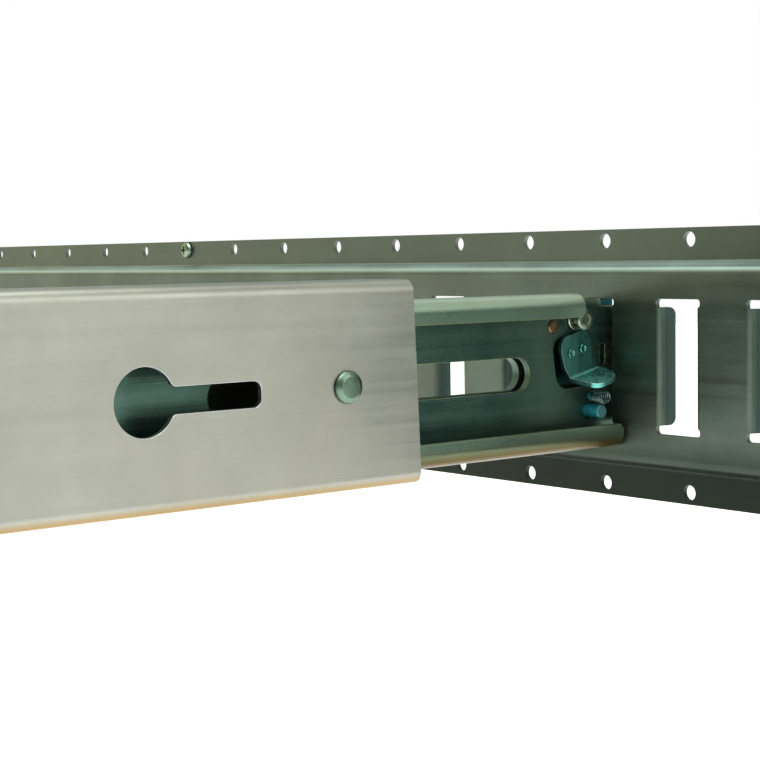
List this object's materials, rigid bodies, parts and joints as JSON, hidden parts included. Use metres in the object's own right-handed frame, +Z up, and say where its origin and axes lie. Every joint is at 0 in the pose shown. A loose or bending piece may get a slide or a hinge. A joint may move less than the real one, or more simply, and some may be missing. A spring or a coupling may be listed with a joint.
{
  "type": "telescoping cargo bar in a slotted wall rail",
  "caption": "Rectangular telescoping bar with sprung latch heads at its ends, one locked into a slot of a horizontal hat-section wall rail.",
  "frame": {"origin": "centre of the slot that holds the near head, on the plane of the rail's back face", "axes": "+X along the rail, to the right as seen from the room; +Y into the wall, along the bar towards the rail; +Z up"},
  "size_m": [0.9144, 1.0504, 0.125],
  "materials": {
    "rail_steel": "satin galvanised sheet, olive to dark green-grey",
    "tube_metal": "satin drawn tube, light warm grey, fine lengthwise draw lines",
    "head_steel": "zinc-plated pressed steel with a green tint",
    "latch_steel": "dark zinc-plated steel plate",
    "trigger_steel": "bright zinc-plated steel with polished edges",
    "rivet_steel": "bright zinc-plated steel",
    "pivot_steel": "bare steel with a brown tint",
    "pin_steel": "blue-tinted zinc plating",
    "spring_steel": "drawn spring wire",
    "pad_plastic": "black plastic"
  },
  "bodies": {
    "rail_and_near_head": {"slotted_rail": "rail_steel", "rail_screw": "rivet_steel", "head_channel_near": "head_steel", "hook_plate_near": "latch_steel", "pivot_rivet_near": "pivot_steel", "stop_stud_near": "rivet_steel", "stop_washer_near": "rivet_steel", "spring_pin_near": "pin_steel", "spring_arbor_near": "pin_steel", "latch_spring_near": "spring_steel", "plate_rivet_lower_near": "rivet_steel", "plate_rivet_upper_near": "rivet_steel"},
    "latch_near": {"latch_lever_near": "latch_steel", "trigger_spacer_near": "latch_steel", "trigger_tab_near": "trigger_steel", "trigger_rivet_rear_near": "rivet_steel", "trigger_rivet_front_near": "rivet_steel"},
    "bar": {"bar_tube": "tube_metal", "travel_rivet_near": "rivet_steel", "travel_rivet_far": "rivet_steel", "guide_pad_top_near": "pad_plastic", "guide_pad_bottom_near": "pad_plastic", "guide_pad_top_far": "pad_plastic", "guide_pad_bottom_far": "pad_plastic"},
    "head_far": {"head_channel_far": "head_steel", "hook_plate_far": "latch_steel", "pivot_rivet_far": "pivot_steel", "stop_stud_far": "rivet_steel", "stop_washer_far": "rivet_steel", "spring_pin_far": "pin_steel", "spring_arbor_far": "pin_steel", "latch_spring_far": "spring_steel", "plate_rivet_lower_far": "rivet_steel", "plate_rivet_upper_far": "rivet_steel"},
    "latch_far": {"latch_lever_far": "latch_steel", "trigger_spacer_far": "latch_steel", "trigger_tab_far": "trigger_steel", "trigger_rivet_rear_far": "rivet_steel", "trigger_rivet_front_far": "rivet_steel"}
  },
  "joints": [
    {"name": "near_latch_press", "type": "hinge", "parent": "rail_and_near_head", "child": "latch_near", "pos_m": [0.0021, -0.0446, 0.0186], "axis": [1, 0, 0], "range_deg": [-12, 0], "stiffness_Nm_per_rad": 0.8, "springref_deg": 6.88, "deforming": ["latch_spring_near"]},
    {"name": "bar_slide", "type": "slide", "parent": "rail_and_near_head", "child": "bar", "axis": [0, 1, 0], "range_m": [-0.05, 0.088]},
    {"name": "far_head_slide", "type": "slide", "parent": "bar", "child": "head_far", "axis": [0, -1, 0], "range_m": [-0.088, 0.05]},
    {"name": "far_latch_press", "type": "hinge", "parent": "head_far", "child": "latch_far", "pos_m": [0.0021, -0.997, 0.0186], "axis": [-1, 0, 0], "range_deg": [-12, 0], "stiffness_Nm_per_rad": 0.8, "springref_deg": 6.88, "deforming": ["latch_spring_far"]}
  ]
}
